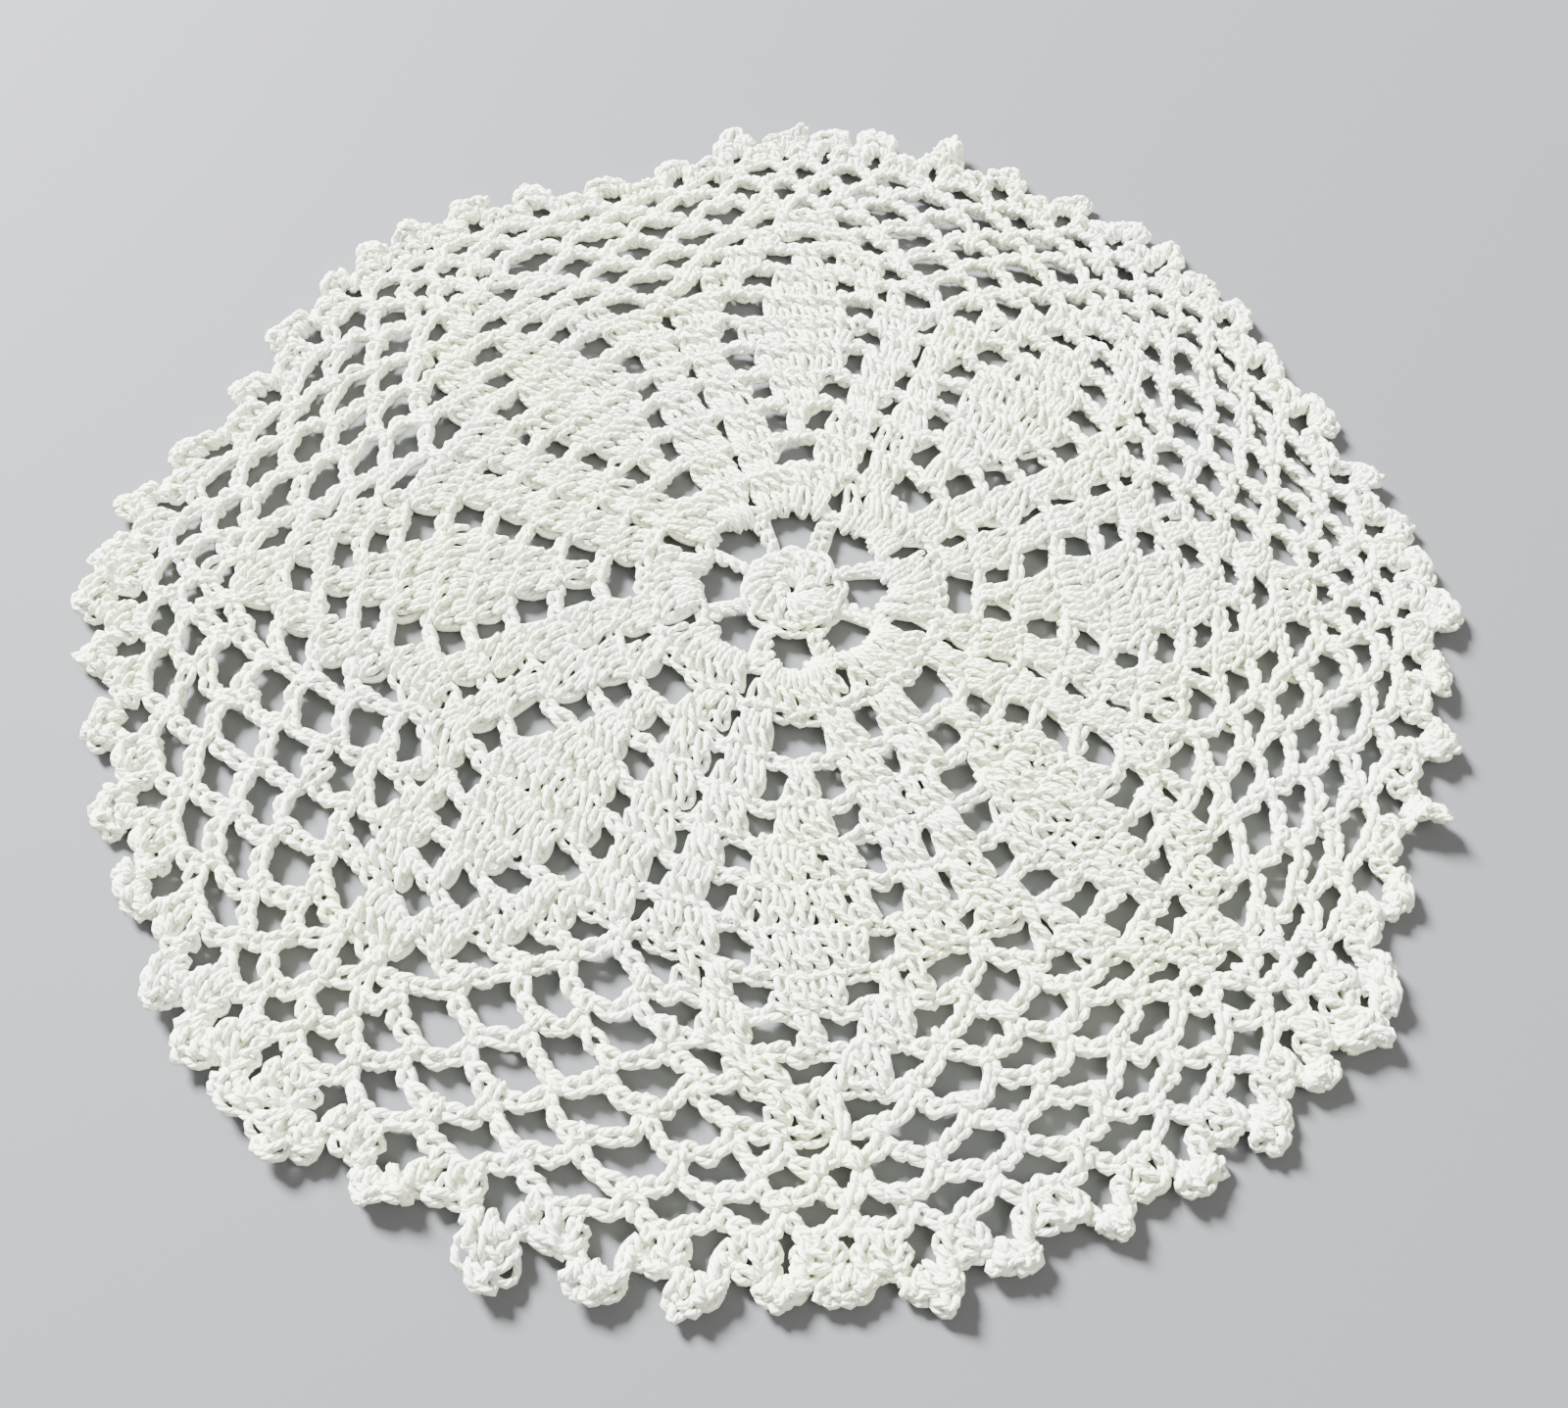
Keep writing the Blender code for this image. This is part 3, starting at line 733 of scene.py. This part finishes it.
# White cotton thread. Twisted plies as bump: the sine of half a turn per ply, from the share of
# the way round plus the length along over the twist. Over it a fine fuzz, and a soft yellowing.
def cottonMaterial():
    material = bpy.data.materials.new("whiteCotton")
    material.use_nodes = True
    nodes, links = material.node_tree.nodes, material.node_tree.links
    shader = nodes["Principled BSDF"]
    shader.inputs["Roughness"].default_value = cotton["roughness"]
    shader.inputs["Specular IOR Level"].default_value = cotton["specular"]
    shader.inputs["Sheen Weight"].default_value = cotton["sheen"]
    shader.inputs["Sheen Roughness"].default_value = cotton["sheenRoughness"]

    # One step of reckoning, with a second value that is a number or another node's.
    def mathNode(operation, first, second=None):
        node = nodes.new("ShaderNodeMath")
        node.operation = operation
        links.new(first, node.inputs[0])
        if isinstance(second, float):
            node.inputs[1].default_value = second
        elif second is not None:
            links.new(second, node.inputs[1])
        return node.outputs["Value"]

    # Noise through the whole lace, by place.
    def noiseNode(scale, detail):
        node = nodes.new("ShaderNodeTexNoise")
        node.inputs["Scale"].default_value = scale
        node.inputs["Detail"].default_value = detail
        links.new(place.outputs["Object"], node.inputs["Vector"])
        return node.outputs["Fac"]

    # Relief as deep as depth where the height is 1.
    def bumpNode(height, depth, strength):
        node = nodes.new("ShaderNodeBump")
        node.inputs["Strength"].default_value = strength
        node.inputs["Distance"].default_value = depth
        links.new(height, node.inputs["Height"])
        return node

    place = nodes.new("ShaderNodeTexCoord")
    along = nodes.new("ShaderNodeUVMap")
    along.uv_map = "along"
    parts = nodes.new("ShaderNodeSeparateXYZ")
    links.new(along.outputs["UV"], parts.inputs["Vector"])
    around = mathNode("MULTIPLY", parts.outputs["X"], math.pi * cotton["plies"])
    forward = mathNode("MULTIPLY", parts.outputs["Y"], math.pi / cotton["twist"])
    ply = mathNode("ABSOLUTE", mathNode("SINE", mathNode("ADD", around, forward)))
    fuzz = noiseNode(cotton["fuzzScale"], cotton["fuzzDetail"])
    plyBump = bumpNode(ply, cotton["plyDepth"], cotton["plyStrength"])
    fuzzBump = bumpNode(fuzz, cotton["fuzzDepth"], cotton["fuzzStrength"])
    links.new(plyBump.outputs["Normal"], fuzzBump.inputs["Normal"])
    links.new(fuzzBump.outputs["Normal"], shader.inputs["Normal"])
    shades = nodes.new("ShaderNodeValToRGB")
    usual, yellowed = shades.color_ramp.elements
    usual.position, yellowed.position = cotton["patchRange"]
    usual.color, yellowed.color = cotton["shade"], cotton["warmShade"]
    links.new(noiseNode(cotton["patchScale"], cotton["patchDetail"]), shades.inputs["Fac"])
    links.new(shades.outputs["Color"], shader.inputs["Base Color"])
    return material


paths = makePaths()
# The edge round has too much thread for one piece, so it is cut at its middle ring, which both
# halves keep.
middleRing = len(paths[-1]) // 2
paths[-1:] = [paths[-1][:middleRing + 1], paths[-1][middleRing:]]
rings = sum(len(path) for path in paths)
print("thread laid out,", rings * thread["sides"] * 2, "triangles in all")

whiteCotton = cottonMaterial()
# the first path of each piece, and the first one after it
pieceRounds = {
    "doilyCentre": (0, 4),
    "doilyPetalsInner": (4, 7),
    "doilyPetalsOuter": (7, 9),
    "doilyNetInner": (9, 12),
    "doilyNetMiddle": (12, 14),
    "doilyNetOuter": (14, 16),
    "doilyEdgeLeft": (16, 17),
    "doilyEdgeRight": (17, 18),
}
for name, (first, end) in pieceRounds.items():
    piece = tubeMesh(name, paths[first:end])
    piece.data.materials.append(whiteCotton)
    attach(piece, "root")
    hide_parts("doily")
    print(name, "made,", len(piece.data.polygons) * 2, "triangles")

studio = {
    "floorRadius": 1.2,
    "floorSides": 128,
    "floorShade": (0.11, 0.113, 0.12, 1.0),
    "floorRoughness": 0.8,
    "worldShade": (0.96, 0.97, 1.0, 1.0),
    "worldStrength": 0.55,
    # place, size, power, colour
    "windowLight": ((-1.35, 1.15, 1.35), 0.64, 545.0, (0.98, 0.99, 1.0)),
    "fillLight": ((1.45, -0.80, 1.90), 1.9, 62.0, (1.0, 0.97, 0.86)),
    "sensor": 36.0,             # millimetres
    "lens": 33.5475,
    "nearest": 0.01,            # metres, nothing nearer to the camera shows
    "elevation": 60.32,         # degrees above the floor
    "distance": 0.21047,
    "target": (0.000025, -0.01967, 0.0014),
    "roll": 4.858,
}


# A plain round floor: corners at even angles, at its radius times cosine and sine.
def makeFloor():
    sides = studio["floorSides"]
    angle = np.arange(sides) * 2 * np.pi / sides
    rim = studio["floorRadius"] * np.stack([np.cos(angle), np.sin(angle), np.zeros(sides)], axis=1)
    mesh = bpy.data.meshes.new("floor")
    mesh.from_pydata(rim, [], [list(range(sides))])
    floor = bpy.data.objects.new("floor", mesh)
    bpy.context.scene.collection.objects.link(floor)
    material = bpy.data.materials.new("paleFloor")
    material.use_nodes = True
    shader = material.node_tree.nodes["Principled BSDF"]
    shader.inputs["Base Color"].default_value = studio["floorShade"]
    shader.inputs["Roughness"].default_value = studio["floorRoughness"]
    mesh.materials.append(material)


# Camera at its distance from the target, level with it and then rolled round its own axis.
def makeCamera():
    data = bpy.data.cameras.new("camera")
    data.sensor_width = studio["sensor"]
    data.lens = studio["lens"]
    data.clip_start = studio["nearest"]
    camera = bpy.data.objects.new("camera", data)
    bpy.context.scene.collection.objects.link(camera)
    elevation, roll = math.radians(studio["elevation"]), math.radians(studio["roll"])
    forward = np.array([0.0, math.cos(elevation), -math.sin(elevation)])
    place = np.array(studio["target"]) - studio["distance"] * forward
    right = np.array([1.0, 0.0, 0.0])
    up = np.cross(right, forward)
    rolledRight = right * math.cos(roll) + up * math.sin(roll)
    rolledUp = up * math.cos(roll) - right * math.sin(roll)
    matrix = np.eye(4)
    matrix[:3] = np.stack([rolledRight, rolledUp, -forward, place], axis=1)
    camera.matrix_world = Matrix(matrix.tolist())
    bpy.context.scene.camera = camera


# A round soft light at its place, turned to the doily's middle.
def addLight(name):
    place, size, power, colour = studio[name]
    data = bpy.data.lights.new(name, "AREA")
    data.shape = "DISK"
    data.size = size
    data.energy = power
    data.color = colour
    light = bpy.data.objects.new(name, data)
    bpy.context.scene.collection.objects.link(light)
    light.location = place
    light.rotation_euler = (-Vector(place)).to_track_quat("-Z", "Y").to_euler()


# An even pale light from all round.
def makeWorld():
    world = bpy.data.worlds.new("studio")
    bpy.context.scene.world = world
    world.use_nodes = True
    background = world.node_tree.nodes["Background"]
    background.inputs["Color"].default_value = studio["worldShade"]
    background.inputs["Strength"].default_value = studio["worldStrength"]


makeFloor()
makeCamera()
addLight("windowLight")
addLight("fillLight")
makeWorld()
print("floor, camera and lights set")
